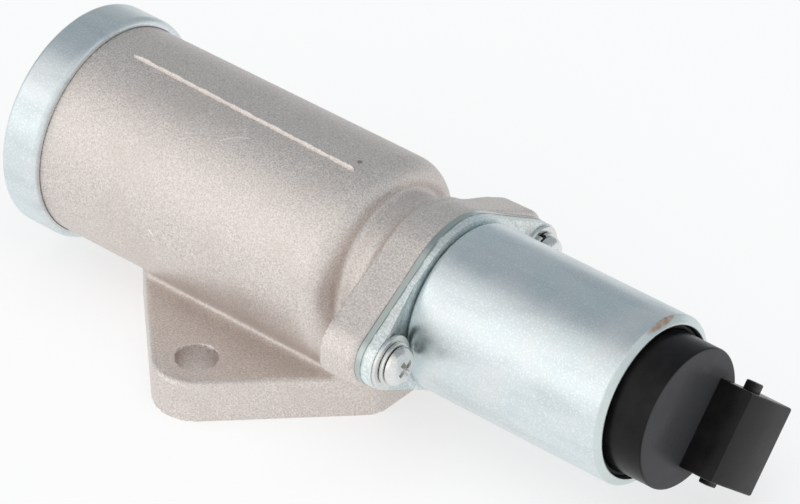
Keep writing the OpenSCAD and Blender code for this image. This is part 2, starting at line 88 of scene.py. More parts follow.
def on_flange(height, across):
    """Matrix that stands a piece drawn up +Z on the flange, beside its middle."""
    return (
        Matrix.Translation(FLANGE_FACE)
        @ Matrix.Rotation(FLANGE_TURN, 4, "Z")
        @ Matrix.Rotation(math.pi / 2, 4, "Y")
        @ Matrix.Translation((0, across, height))
    )


def at_connector():
    """Matrix with +X out of the connector's mouth and +Z along the valve's axis."""
    return on_axis() @ Matrix.Rotation(CONNECTOR_TURN, 4, "Z")


# Mesh helpers


def shade(mesh, sharp_angle):
    """Smooth shading with creases at edges sharper than an angle in degrees."""
    for face in mesh.polygons:
        face.use_smooth = True
    mesh.set_sharp_from_angle(angle=math.radians(sharp_angle))


def piece_from(bm, name, material, replaced, sharp_angle=35):
    """Turns a finished bmesh into a piece that rides on the housing and stands for a CAD node."""
    mesh = bpy.data.meshes.new(name)
    bm.to_mesh(mesh)
    bm.free()
    shade(mesh, sharp_angle)
    mesh.materials.append(material)
    piece = bpy.data.objects.new(name, mesh)
    bpy.context.scene.collection.objects.link(piece)
    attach(piece, HOUSING)
    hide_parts(replaced)
    return piece


def applied(bm, *modifiers):
    """The bmesh after modifiers, given as (type, settings)."""
    mesh = bpy.data.meshes.new("working")
    bm.to_mesh(mesh)
    bm.free()
    holder = bpy.data.objects.new("working", mesh)
    bpy.context.scene.collection.objects.link(holder)
    for kind, settings in modifiers:
        modifier = holder.modifiers.new(kind.title(), kind)
        for key, value in settings.items():
            setattr(modifier, key, value)
    graph = bpy.context.evaluated_depsgraph_get()
    result = bmesh.new()
    result.from_object(holder, graph)
    bpy.data.objects.remove(holder)
    bpy.data.meshes.remove(mesh)
    return result


def turned(bm, profile, matrix, steps):
    """Spins a profile of (radius, height) in millimetres round the piece's own axis."""
    verts = [bm.verts.new((r * MM, 0, h * MM)) for r, h in profile]
    edges = [bm.edges.new(pair) for pair in zip(verts, verts[1:])]
    bmesh.ops.spin(
        bm,
        geom=verts + edges,
        cent=(0, 0, 0),
        axis=(0, 0, 1),
        angle=math.tau,
        steps=steps,
        use_merge=True,
    )
    bmesh.ops.remove_doubles(bm, verts=bm.verts[:], dist=MERGE_DISTANCE / 2)
    bmesh.ops.recalc_face_normals(bm, faces=bm.faces[:])
    bmesh.ops.transform(bm, matrix=matrix, verts=bm.verts[:])


def arc(centre, radius, start, end, count):
    """Profile points along an arc, in degrees."""
    angles = [math.radians(start + (end - start) * i / count) for i in range(count + 1)]
    return [(centre[0] + radius * math.cos(a), centre[1] + radius * math.sin(a)) for a in angles]


def rounded_box(low, high, rounding, segments):
    """A bmesh box between two corners in millimetres, with rounded edges."""
    bm = bmesh.new()
    size = [b - a for a, b in zip(low, high)]
    middle = [(a + b) / 2 for a, b in zip(low, high)]
    bmesh.ops.create_cube(bm, size=1)
    bmesh.ops.scale(bm, vec=[s * MM for s in size], verts=bm.verts[:])
    bmesh.ops.translate(bm, vec=[m * MM for m in middle], verts=bm.verts[:])
    bmesh.ops.bevel(
        bm,
        geom=bm.edges[:] + bm.verts[:],
        offset=rounding * MM,
        offset_type="OFFSET",
        segments=segments,
        profile=0.5,
        affect="EDGES",
        material=-1,
    )
    return bm


def add_to(bm, other, matrix=None):
    """Copies another bmesh into this one."""
    mesh = bpy.data.meshes.new("part")
    other.to_mesh(mesh)
    other.free()
    if matrix:
        mesh.transform(matrix)
    bm.from_mesh(mesh)
    bpy.data.meshes.remove(mesh)


def cad_copy(node):
    """A merged bmesh copy of a CAD node."""
    bm = bmesh.new()
    bm.from_mesh(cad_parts[node].data)
    bmesh.ops.remove_doubles(bm, verts=bm.verts[:], dist=MERGE_DISTANCE)
    return bm


# Finishes


class Finish:
    """A procedural material on Object coordinates."""

    def __init__(self, name, **sockets):
        self.material = bpy.data.materials.new(name)
        self.material.use_nodes = True
        tree = self.material.node_tree
        self.nodes, self.links = tree.nodes, tree.links
        self.shader = self.nodes["Principled BSDF"]
        self.place = self.nodes.new("ShaderNodeTexCoord").outputs["Object"]
        for key, value in sockets.items():
            self.shader.inputs[key.replace("_", " ")].default_value = value

    def stretched(self, scale):
        """Coordinates stretched along the axes of the piece."""
        mapping = self.nodes.new("ShaderNodeMapping")
        mapping.inputs["Scale"].default_value = scale
        self.links.new(self.place, mapping.inputs["Vector"])
        return mapping.outputs["Vector"]

    def noise(self, grain, detail, roughness, place=None):
        """Noise whose grains are about that many millimetres wide."""
        node = self.nodes.new("ShaderNodeTexNoise")
        node.inputs["Scale"].default_value = 1 / (grain * MM)
        node.inputs["Detail"].default_value = detail
        node.inputs["Roughness"].default_value = roughness
        self.links.new(place or self.place, node.inputs["Vector"])
        return node.outputs["Fac"]

    def spread(self, value, low, high, to_low, to_high):
        """Maps a value from one span to another."""
        node = self.nodes.new("ShaderNodeMapRange")
        ends = {"From Min": low, "From Max": high, "To Min": to_low, "To Max": to_high}
        for key, number in ends.items():
            node.inputs[key].default_value = number
        self.links.new(value, node.inputs["Value"])
        return node.outputs["Result"]

    def mark(self, centre, size, turn=(0, 0, 0)):
        """1 inside an ellipsoid given by its middle and half sizes in millimetres, 0 outside it."""
        mapping = self.nodes.new("ShaderNodeMapping")
        mapping.vector_type = "TEXTURE"
        mapping.inputs["Location"].default_value = [c * MM for c in centre]
        mapping.inputs["Rotation"].default_value = turn
        mapping.inputs["Scale"].default_value = [s * MM for s in size]
        self.links.new(self.place, mapping.inputs["Vector"])
        length = self.nodes.new("ShaderNodeVectorMath")
        length.operation = "LENGTH"
        self.links.new(mapping.outputs["Vector"], length.inputs[0])
        return self.spread(length.outputs["Value"], 0.7, 1.15, 1, 0)

    def along(self, direction):
        """Distance from the origin along a direction, in metres."""
        node = self.nodes.new("ShaderNodeVectorMath")
        node.operation = "DOT_PRODUCT"
        node.inputs[1].default_value = direction
        self.links.new(self.place, node.inputs[0])
        return node.outputs["Value"]

    def combined(self, operation, first, second):
        """Two values, or a value and a number, put through a math node."""
        node = self.nodes.new("ShaderNodeMath")
        node.operation = operation
        for socket, value in zip(node.inputs, (first, second)):
            if isinstance(value, float):
                socket.default_value = value
            else:
                self.links.new(value, socket)
        return node.outputs["Value"]

    def blend(self, value, first, second):
        """Colour between two tints."""
        node = self.nodes.new("ShaderNodeMix")
        node.data_type = "RGBA"
        node.inputs["A"].default_value = (*first, 1)
        node.inputs["B"].default_value = (*second, 1)
        self.links.new(value, node.inputs["Factor"])
        return node.outputs["Result"]

    def overlay(self, value, colour, second):
        """Another tint over a colour that a node gives."""
        node = self.nodes.new("ShaderNodeMix")
        node.data_type = "RGBA"
        node.inputs["B"].default_value = (*second, 1)
        self.links.new(colour, node.inputs["A"])
        self.links.new(value, node.inputs["Factor"])
        return node.outputs["Result"]

    def colour(self, value):
        """Gives the surface its colour."""
        self.links.new(value, self.shader.inputs["Base Color"])

    def roughness(self, value):
        """Gives the surface its roughness."""
        self.links.new(value, self.shader.inputs["Roughness"])

    def bump(self, *layers):
        """Bumps, each a (height, depth in millimetres, strength)."""
        normal = None
        for height, depth, strength in layers:
            node = self.nodes.new("ShaderNodeBump")
            node.inputs["Distance"].default_value = depth * MM
            node.inputs["Strength"].default_value = strength
            self.links.new(height, node.inputs["Height"])
            if normal:
                self.links.new(normal, node.inputs["Normal"])
            normal = node.outputs["Normal"]
        self.links.new(normal, self.shader.inputs["Normal"])


def cast_aluminium(colour):
    """Shot-blasted aluminium casting: matte, with a fine sparkling grain, painted shade in its
    hollows and lighter edges that are partly wear and partly a painted highlight.
    """
    finish = Finish("cast_aluminium", Metallic=0.9)
    clouds = finish.noise(16, 4, 0.6)
    pits = finish.noise(1.1, 2, 0.5)
    grain = finish.noise(0.36, 2, 0.6)
    dark = tuple(c * 0.74 for c in colour)
    light = tuple(min(1, c * 1.2) for c in colour)
    mixed = finish.blend(finish.spread(grain, 0.32, 0.68, 0, 1), dark, light)
    stain = tuple(c * f for c, f in zip(colour, (0.86, 0.83, 0.8)))
    mixed = finish.overlay(finish.spread(clouds, 0.5, 0.72, 0, 0.4), mixed, stain)
    pit = finish.mark((18.85, -0.91, 52.98), (0.6, 0.6, 0.6))
    mixed = finish.overlay(finish.combined("MULTIPLY", pit, 0.7), mixed, (0.2, 0.17, 0.15))
    nick = finish.mark((-19.3, -24.0, 29.4), (1.0, 0.5, 0.22), (0, 0.585, 0))
    mixed = finish.overlay(nick, mixed, (0.95, 0.93, 0.9))
    for centre, turn in (
        ((-9.35, -10.1, 50.75), (0, -0.297, 0.677)),
        ((-6.75, -8.6, 51.4), (0, -0.128, 0.377)),
    ):
        scratch = finish.mark(centre, (1.6, 0.24, 0.3), turn)
        mixed = finish.overlay(finish.combined("MULTIPLY", scratch, 0.6), mixed, (0.95, 0.92, 0.9))
    shape = finish.nodes.new("ShaderNodeNewGeometry").outputs["Pointiness"]
    # Hollows that Pointiness finds are painted darker: painted shade in the creases.
    painted_hollow_shade = finish.spread(shape, 0.485, 0.44, 0, 0.55)
    mixed = finish.overlay(painted_hollow_shade, mixed, tuple(c * 0.5 for c in colour))
    # Sharp edges are painted lighter where the pits allow: partly wear, partly a painted highlight.
    edges = finish.spread(shape, 0.52, 0.58, 0, 0.8)
    wear_and_edge_highlight = finish.combined("MULTIPLY", edges, finish.spread(pits, 0.35, 0.6, 0.3, 1))
    finish.colour(finish.overlay(finish.combined("MULTIPLY", wear_and_edge_highlight, 0.45), mixed, (0.9, 0.86, 0.82)))
    finish.roughness(finish.spread(grain, 0.3, 0.7, 0.4, 0.58))
    finish.bump((clouds, 0.2, 0.25), (pits, 0.06, 0.5), (grain, 0.05, 0.8))
    return finish.material


def plated_steel(name, colour, patchy, smooth, rough, lip=None):
    """Bluish zinc plate on drawn steel: cloudy sheen and a fine even sparkle."""
    finish = Finish(name, Metallic=1.0)
    clouds = finish.noise(11, 3, 0.5)
    streaks = finish.noise(5, 2, 0.5, finish.stretched((0.25, 1, 1)))
    grain = finish.noise(0.4, 1, 0.5)
    mixed = finish.blend(finish.spread(clouds, 0.38, 0.66, 0, 1), colour, patchy)
    dull = tuple(c * 0.86 for c in colour)
    mixed = finish.overlay(finish.spread(streaks, 0.5, 0.7, 0, 0.6), mixed, dull)
    bright = tuple(min(1, c * 1.25) for c in colour)
    mixed = finish.overlay(finish.spread(grain, 0.5, 0.72, 0, 0.7), mixed, bright)
    if lip:
        face = finish.spread(finish.along((1, 0, 0)), lip, lip + 0.1 * MM, 0, 0.5)
        mixed = finish.overlay(face, mixed, (0.62, 0.7, 0.67))
        rust = finish.mark((96.5, 3.0, 47.4), (0.75, 5.5, 0.9))
        patches = finish.spread(finish.noise(1.2, 3, 0.6), 0.35, 0.6, 0.35, 0.85)
        rust = finish.combined("MULTIPLY", rust, patches)
        mixed = finish.overlay(rust, mixed, (0.55, 0.3, 0.18))
    finish.colour(mixed)
    finish.roughness(finish.spread(clouds, 0.3, 0.7, smooth, rough))
    finish.bump((streaks, 0.06, 0.12), (grain, 0.035, 0.6))
    return finish.material


def sheared_steel(colour, patchy):
    """Plated bracket: its cut edge is smooth next to the casting and torn beyond that; the smooth
    band is also painted dark teal as painted shade of the gap under the casting.
    """
    finish = Finish("bracket_plate", Metallic=1.0)
    clouds = finish.noise(9, 3, 0.5)
    tear = finish.noise(0.5, 2, 0.6)
    wander = finish.spread(finish.noise(5, 3, 0.6), 0.3, 0.7, -0.35 * MM, 0.35 * MM)
    normal = (math.cos(FLANGE_TURN), math.sin(FLANGE_TURN), 0)
    height = finish.combined("ADD", finish.along(normal), wander)
    start, end = (FLANGE_FACE.x * math.cos(FLANGE_TURN) + depth for depth in BRACKET_SMOOTH_SHADED_BAND)
    # cut is 1 on the smooth band next to the casting, which also carries the painted shade of the
    # gap.
    cut = finish.spread(height, start, end, 1, 0)
    torn = finish.spread(height, start, end, 0, 1)
    mixed = finish.blend(finish.spread(clouds, 0.38, 0.66, 0, 1), colour, patchy)
    bright = tuple(min(1, c * 1.3) for c in colour)
    speckle = finish.combined("MULTIPLY", finish.spread(tear, 0.42, 0.62, 0, 0.9), torn)
    mixed = finish.overlay(speckle, mixed, bright)
    # Dark teal on the smooth band: painted shade of the gap between casting and bracket.
    finish.colour(finish.overlay(finish.combined("MULTIPLY", cut, 0.75), mixed, (0.42, 0.48, 0.46)))
    finish.roughness(finish.spread(torn, 0, 1, 0.28, 0.46))
    finish.bump((clouds, 0.1, 0.2), (finish.combined("MULTIPLY", tear, torn), 0.12, 0.7))
    return finish.material


def moulded_plastic(name, colour, smooth, rough, face=None):
    """Black glass-filled plastic with faint flow marks; a face at that place along X is painted
    lighter grey, painted light standing in for light from the +X side.
    """
    finish = Finish(name, IOR=1.45, Specular_IOR_Level=0.17)
    flow = finish.noise(6, 3, 0.6)
    fine = finish.noise(0.3, 3, 0.6)
    light = tuple(c * 1.5 + 0.002 for c in colour)
    mixed = finish.blend(finish.spread(flow, 0.4, 0.7, 0, 1), colour, light)
    if face:
        # The face is painted lighter grey: painted light for light falling from the +X side.
        x = finish.along((1, 0, 0))
        painted_lit_face = finish.combined(
            "MULTIPLY",
            finish.spread(x, face - 0.2 * MM, face - 0.08 * MM, 0, 1),
            finish.spread(x, face + 0.03 * MM, face + 0.08 * MM, 1, 0),
        )
        mixed = finish.overlay(painted_lit_face, mixed, (0.05, 0.05, 0.053))
    finish.colour(mixed)
    finish.roughness(finish.spread(flow, 0.35, 0.7, smooth, rough))
    finish.bump((flow, 0.02, 0.2), (fine, 0.01, 0.3))
    return finish.material


def inner_metal(name, colour, smooth=0.25, rough=0.4):
    """Turned inner piece with fine tool marks."""
    finish = Finish(name, Metallic=1.0)
    marks = finish.noise(0.25, 2, 0.5, finish.stretched((1, 0.15, 0.15)))
    patches = finish.spread(finish.noise(4, 3, 0.5), 0.35, 0.7, 0, 1)
    finish.colour(finish.blend(patches, tuple(c * 0.85 for c in colour), colour))
    finish.roughness(finish.spread(marks, 0.3, 0.7, smooth, rough))
    finish.bump((marks, 0.01, 0.4))
    return finish.material


def soft_rubber():
    """Black rubber with a dusty bloom."""
    finish = Finish("black_rubber")
    bloom = finish.noise(3, 4, 0.6)
    dusty = finish.spread(bloom, 0.4, 0.7, 0, 1)
    finish.colour(finish.blend(dusty, (0.012, 0.012, 0.012), (0.03, 0.03, 0.03)))
    finish.roughness(finish.spread(bloom, 0.3, 0.7, 0.55, 0.75))
    finish.bump((finish.noise(0.3, 3, 0.6), 0.02, 0.3))
    return finish.material


def open_foam():
    """Open-cell foam."""
    finish = Finish("grey_foam", Roughness=0.95)
    cells = finish.nodes.new("ShaderNodeTexVoronoi")
    cells.inputs["Scale"].default_value = 1 / (1.4 * MM)
    finish.links.new(finish.place, cells.inputs["Vector"])
    pores = cells.outputs["Distance"]
    walls = finish.spread(pores, 0.1, 0.6, 0, 1)
    finish.colour(finish.blend(walls, (0.015, 0.015, 0.017), (0.09, 0.09, 0.095)))
    finish.bump((pores, 0.5, 0.8))
    return finish.material


def wound_copper():
    """Enamelled wire laid in turns along the axis."""
    finish = Finish("copper_wire", Metallic=0.9, Roughness=0.32)
    turns = finish.nodes.new("ShaderNodeTexWave")
    turns.bands_direction = "X"
    turns.inputs["Scale"].default_value = 1 / (0.5 * MM) / math.tau
    finish.links.new(finish.place, turns.inputs["Vector"])
    finish.colour(finish.blend(turns.outputs["Fac"], (0.28, 0.09, 0.03), (0.62, 0.25, 0.1)))
    finish.bump((turns.outputs["Fac"], 0.15, 0.8))
    return finish.material


# Settings


class ValveColours(bpy.types.PropertyGroup):
    """Colours of the visible finishes."""

    casting: bpy.props.FloatVectorProperty(
        name="Casting",
        description="Aluminium of the cast body",
        subtype="COLOR",
        size=3,
        default=(0.745, 0.685, 0.65),
    )
    plate: bpy.props.FloatVectorProperty(
        name="Zinc plate",
        description="Bluish plate on can and cap",
        subtype="COLOR",
        size=3,
        default=(0.7, 0.77, 0.79),
    )
    plate_patch: bpy.props.FloatVectorProperty(
        name="Zinc patches",
        description="Tint of the cloudy patches",
        subtype="COLOR",
        size=3,
        default=(0.78, 0.81, 0.82),
    )
    screw: bpy.props.FloatVectorProperty(
        name="Screws",
        description="Plate of screws and washers",
        subtype="COLOR",
        size=3,
        default=(0.74, 0.74, 0.72),
    )
    plastic: bpy.props.FloatVectorProperty(
        name="Connector",
        description="Moulded plug and shroud",
        subtype="COLOR",
        size=3,
        default=(0.0065, 0.0063, 0.0065),
    )


class ValveSizes(bpy.types.PropertyGroup):
    """Sizes of the details that are added to the solids, in metres."""

    casting_grid: bpy.props.FloatProperty(
        name="Casting grid",
        description="Mesh size that rounds the casting",
        unit="LENGTH",
        default=0.5 * MM,
    )
    casting_share: bpy.props.FloatProperty(
        name="Casting share",
        description="Share of the casting's faces that are kept",
        unit="NONE",
        default=0.42,
    )
    rib_height: bpy.props.FloatProperty(
        name="Rib height",
        description="Height of the parting rib over the drum",
        unit="LENGTH",
        default=0.72 * MM,
    )
    recess_depth: bpy.props.FloatProperty(
        name="Recess depth",
        description="Depth of the cross in the screws",
        unit="LENGTH",
        default=2.1 * MM,
    )


def settings():
    """Both groups of the scene's settings."""
    return bpy.context.scene.valve_colours, bpy.context.scene.valve_sizes


def finish_of(name):
    """A material that an earlier step made."""
    return bpy.data.materials[name + "_finish"]


def keep(material, name):
    """Names a finish so that later steps find it."""
    material.name = name + "_finish"
    return material


def dress(node, material):
    """Gives a CAD node a finish in its own slots."""
    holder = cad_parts[node]
    for slot in holder.material_slots:
        slot.material = material
    if not holder.material_slots:
        holder.data.materials.append(material)


# Steps


class VALVE_OT_finishes(bpy.types.Operator):
    """Make the finishes that several pieces share"""

    bl_idname = "valve.finishes"
    bl_label = "Finishes"

    def execute(self, context):
        colours, _ = settings()
        keep(cast_aluminium(tuple(colours.casting)), "casting")
        plate, patch = tuple(colours.plate), tuple(colours.plate_patch)
        screw = tuple(colours.screw)
        keep(plated_steel("zinc_plate", plate, patch, 0.3, 0.42), "plate")
        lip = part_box("solenoid_can")[1][0] - LIP_DEPTH
        keep(plated_steel("can_plate", plate, patch, 0.3, 0.42, lip), "can")
        keep(sheared_steel(plate, screw), "bracket")
        keep(plated_steel("screw_plate", screw, patch, 0.2, 0.38), "screw")
        plastic = moulded_plastic("black_plastic", tuple(colours.plastic), 0.26, 0.4, PLUG_FACE)
        keep(plastic, "plastic")
        return {"FINISHED"}


class VALVE_OT_casting(bpy.types.Operator):
    """Round the cast body as a mould leaves it"""

    bl_idname = "valve.casting"
    bl_label = "Cast body"

    drum_radius = 24 * MM
    blurred_span = (-43.4 * MM, 21 * MM)
    blurred_height = 22 * MM
    rib_start, rib_run = (-43.3, -2.3), (63, -1.4)
    rib_half_width = 0.36 * MM
    rib_steps = 130

    def flatten(self, bm):
        """Takes the blurred rib off the top of the drum."""
        start, end = self.blurred_span
        for vert in bm.verts:
            y, z = vert.co.y, vert.co.z - AXIS_HEIGHT
            reach = math.hypot(y, z)
            on_top = start < vert.co.x < end and z > self.blurred_height
            if on_top and reach > self.drum_radius:
                vert.co.y = y * self.drum_radius / reach
                vert.co.z = AXIS_HEIGHT + z * self.drum_radius / reach

    def rib(self, bm, height):
        """Adds the crisp parting rib, a little uneven along its length."""
        half = ((0, 1), (0.6, 0.85), (0.95, 0.3), (1.3, -0.5))
        shape = [(-a, b) for a, b in reversed(half[1:])] + list(half)
        rings = []
        for i in range(self.rib_steps + 1):
            t = i / self.rib_steps
            x, y = ((a + b * t) * MM for a, b in zip(self.rib_start, self.rib_run))
            swell = 1 + 0.12 * math.sin(41 * t) + 0.1 * math.sin(97 * t + 1)
            swell += 0.06 * math.sin(211 * t)
            wide = self.rib_half_width * swell * min(1, 0.4 + 30 * t, 0.4 + 30 * (1 - t))
            tall = height * swell * min(1, 0.3 + 25 * t, 0.6 + 40 * (1 - t))
            base = AXIS_HEIGHT + math.sqrt(self.drum_radius**2 - y * y)
            rings.append([bm.verts.new((x, y + a * wide, base + b * tall)) for a, b in shape])
        faces = []
        for before, after in zip(rings, rings[1:]):
            for j in range(len(before)):
                faces.append(bm.faces.new((before[j - 1], before[j], after[j], after[j - 1])))
        faces += [bm.faces.new(rings[0]), bm.faces.new(reversed(rings[-1]))]
        bmesh.ops.recalc_face_normals(bm, faces=faces)

    def execute(self, context):
        _, sizes = settings()
        bm = applied(
            cad_copy("valve_body"),
            ("REMESH", {"mode": "VOXEL", "voxel_size": sizes.casting_grid, "adaptivity": 0.0}),
            ("SMOOTH", {"factor": 0.5, "iterations": 3}),
            ("DECIMATE", {"ratio": sizes.casting_share}),
        )
        self.flatten(bm)
        self.rib(bm, sizes.rib_height)
        piece_from(bm, "cast_body", finish_of("casting"), "valve_body", 50)
        return {"FINISHED"}


class VALVE_OT_sheet_steel(bpy.types.Operator):
    """Finish the cap and the bracket, and build the can with its chamfered lip"""

    bl_idname = "valve.sheet_steel"
    bl_label = "Cap, can and bracket"

    corner, wall = 2.1, 2.0

    def can(self):
        """Drawn can on the CAD can's own sizes, in millimetres."""
        verts = [v.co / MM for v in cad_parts["solenoid_can"].data.vertices]
        reach = [math.hypot(v.y, v.z - AXIS_HEIGHT / MM) for v in verts]
        base, end = min(v.x for v in verts), max(v.x for v in verts)
        hole, r = min(reach), max(reach)
        bore, floor = r - self.wall, base + self.wall
        lip = ((0, 1.35), (0, 1.2), (0.04, 1.08), (0.14, 0.98), (0.25, 0.89), (1.35, 0.02))
        lip += ((1.5, -0.08), (1.7, -0.12), (1.9, -0.04), (self.wall, 0.15), (self.wall, 0.4))
        profile = [(hole, base)]
        profile += arc((r - self.corner, base + self.corner), self.corner, -90, 0, 8)
        profile += [(r - inward, end - back) for inward, back in lip]
        profile += [(bore, floor), (hole, floor), (hole, base)]
        bm = bmesh.new()
        turned(bm, profile, on_axis(), 160)
        return bm

    def execute(self, context):
        dress("end_cap", finish_of("plate"))
        dress("mounting_bracket", finish_of("bracket"))
        piece_from(self.can(), "drawn_can", finish_of("can"), "solenoid_can")
        return {"FINISHED"}


class VALVE_OT_screws(bpy.types.Operator):
    """Build the domed screws, their spring washers and flat washers"""

    bl_idname = "valve.screws"
    bl_label = "Screws and washers"

    head_radius, head_height = 4.25, 2.3
    shank, shank_radius = 12, 2.5
    washer_bore = 2.7
    flat_radius, flat_thickness = 6.0, 0.8
    spring_radius, spring_thickness = 4.8, 1.1
    spring_turn, spring_steps = math.radians(348), 60

    def cross(self, depth):
        """Tapered cutter for a cross recess, standing in the top of a head."""
        cutter = bmesh.new()
        for turn in (0, math.pi / 2):
            wing = rounded_box((-2.3, -0.62, -depth / MM), (2.3, 0.62, 0.6), 0.12, 2)
            low = [v for v in wing.verts if v.co.z < -depth / 2]
            bmesh.ops.scale(wing, vec=(0.55, 0.75, 1), verts=low)
            add_to(cutter, wing, Matrix.Rotation(turn, 4, "Z"))
        return cutter

    def head(self, depth, turn):
        """One screw with its recess."""
        r, h = self.head_radius, self.head_height
        neck, tip = self.shank_radius, -self.shank
        bm = bmesh.new()
        profile = [(0, tip), (neck - 0.3, tip), (neck, tip + 0.4), (neck, 0)]
        profile += [(r - 0.15, 0), (r, 0.15), (r, 0.5)] + arc((r - 1.7, 0.5), 1.7, 8, 82, 7)
        profile += [(r - 2.4, h + 0.04), (0, h + 0.08)]
        turned(bm, profile, Matrix.Identity(4), 48)
        mesh = bpy.data.meshes.new("cutter")
        cutter = self.cross(depth)
        place = Matrix.Translation((0, 0, h * MM)) @ Matrix.Rotation(turn, 4, "Z")
        bmesh.ops.transform(cutter, matrix=place, verts=cutter.verts[:])
        cutter.to_mesh(mesh)
        cutter.free()
        tool = bpy.data.objects.new("cutter", mesh)
        bpy.context.scene.collection.objects.link(tool)
        cut = {"operation": "DIFFERENCE", "object": tool, "solver": "EXACT", "use_self": True}
        bm = applied(bm, ("BOOLEAN", cut))
        bpy.data.objects.remove(tool)
        bpy.data.meshes.remove(mesh)
        return bm

    def spring_washer(self):
        """Split ring whose ends stand a little apart."""
        bm = bmesh.new()
        inner, outer = self.washer_bore * MM, self.spring_radius * MM
        t = self.spring_thickness * MM
        edge = outer - 0.12 * MM
        corners = [(inner, 0), (edge, 0), (outer, 0.15 * MM), (outer, t * 0.72)]
        corners += [(edge, t * 0.8), (inner, t * 0.8)]
        verts = [bm.verts.new((x, 0, z)) for x, z in corners]
        edges = [bm.edges.new((verts[i - 1], verts[i])) for i in range(len(verts))]
        bmesh.ops.spin(
            bm,
            geom=verts + edges,
            cent=(0, 0, 0),
            axis=(0, 0, 1),
            dvec=(0, 0, t * 0.2 / self.spring_steps),
            angle=self.spring_turn,
            steps=self.spring_steps,
        )
        bmesh.ops.holes_fill(bm, edges=[e for e in bm.edges if e.is_boundary], sides=0)
        bmesh.ops.recalc_face_normals(bm, faces=bm.faces[:])
        return bm

    def flat_washer(self):
        """Washer with a broken edge."""
        bm = bmesh.new()
        r, t = self.flat_radius, self.flat_thickness
        bore = self.washer_bore
        profile = [(bore, 0.1), (bore + 0.1, 0), (r - 0.1, 0), (r, 0.1), (r, t - 0.2)]
        profile += [(r - 0.2, t), (bore + 0.1, t), (bore, t - 0.1), (bore, 0.1)]
        turned(bm, profile, Matrix.Identity(4), 64)
        return bm

    def execute(self, context):
        _, sizes = settings()
        screws, springs, flats = bmesh.new(), bmesh.new(), bmesh.new()
        base = BRACKET_THICKNESS
        spring_base = base + self.flat_thickness * MM
        head_base = spring_base + self.spring_thickness * MM
        for side, turn in ((-1, 0.5), (1, 1.1)):
            across = side * SCREW_SPACING / 2
            add_to(screws, self.head(sizes.recess_depth, turn), on_flange(head_base, across))
            split = Matrix.Rotation(turn * 3, 4, "Z")
            add_to(springs, self.spring_washer(), on_flange(spring_base, across) @ split)
            add_to(flats, self.flat_washer(), on_flange(base, across))
        metal = finish_of("screw")
        piece_from(screws, "domed_screws", metal, "bracket_screws", 30)
        piece_from(springs, "spring_washers", metal, "lock_washers", 30)
        piece_from(flats, "round_washers", metal, "flat_washers", 30)
        return {"FINISHED"}


class VALVE_OT_connector(bpy.types.Operator):
    """Build the moulded plug with its shroud, socket and guide lugs"""

    bl_idname = "valve.connector"
    bl_label = "Connector"

    back, length, width, shift = 4.8, 19.5, 20.0, 0.3
    face, height = PLUG_FACE / MM, 8.0
    wall, socket = 1.4, 13.0
    plug_base, plug_step = 93.25, 95.0
    collar_radius, plug_radius, rounding = 16.9, 15.75, 0.5
    lug_start, lug_end = (9.4, 109), (13.4, 111.4)

    def shroud(self):
        """Rounded box, open at the mouth."""
        low = (self.back, self.shift - self.width / 2, self.face - 0.6)
        high = (self.back + self.length, self.shift + self.width / 2, self.face + self.height)
        bm = rounded_box(low, high, 0.5, 3)
        bm.faces.ensure_lookup_table()
        mouth = max(bm.faces, key=lambda f: (round(f.calc_center_median().x, 6), f.calc_area()))
        bmesh.ops.inset_region(bm, faces=[mouth], thickness=(self.wall - 0.5) * MM)
        out = bmesh.ops.extrude_face_region(bm, geom=[mouth])
        moved = [v for v in out["geom"] if isinstance(v, bmesh.types.BMVert)]
        bmesh.ops.delete(bm, geom=[mouth], context="FACES_ONLY")
        bmesh.ops.translate(bm, vec=(-self.socket * MM, 0, 0), verts=moved)
        return bm

    def lugs(self):
        """Two guide lugs on the shroud's narrow sides."""
        bm = bmesh.new()
        y_low, y_high = self.shift - self.width / 2, self.shift + self.width / 2
        (x_from, z_from), (x_to, z_to) = self.lug_start, self.lug_end
        for y_from, y_to in ((y_low - 1.2, y_low + 1), (y_high - 1, y_high + 2.1)):
            add_to(bm, rounded_box((x_from, y_from, z_from), (x_to, y_to, z_to), 0.35, 2))
        return bm

    def plug(self, bm):
        """Round plug that closes the can."""
        collar, radius, base = self.collar_radius, self.plug_radius, self.plug_base
        middle = (radius - self.rounding, self.face - self.rounding)
        profile = [(0, base), (collar - 0.05, base), (collar, base + 0.05)]
        profile += [(collar, self.plug_step), (radius, self.plug_step)]
        profile += arc(middle, self.rounding, 0, 90, 5) + [(0, self.face)]
        turned(bm, profile, on_axis(), 128)

    def execute(self, context):
        bm = bmesh.new()
        self.plug(bm)
        add_to(bm, self.shroud(), at_connector())
        add_to(bm, self.lugs(), at_connector())
        plastic = finish_of("plastic")
        piece_from(bm, "connector_moulding", plastic, "connector_housing", 32)
        tin = inner_metal("tin_plate", (0.66, 0.63, 0.56), 0.2, 0.35)
        dress("terminal_blades", keep(tin, "blade"))
        return {"FINISHED"}


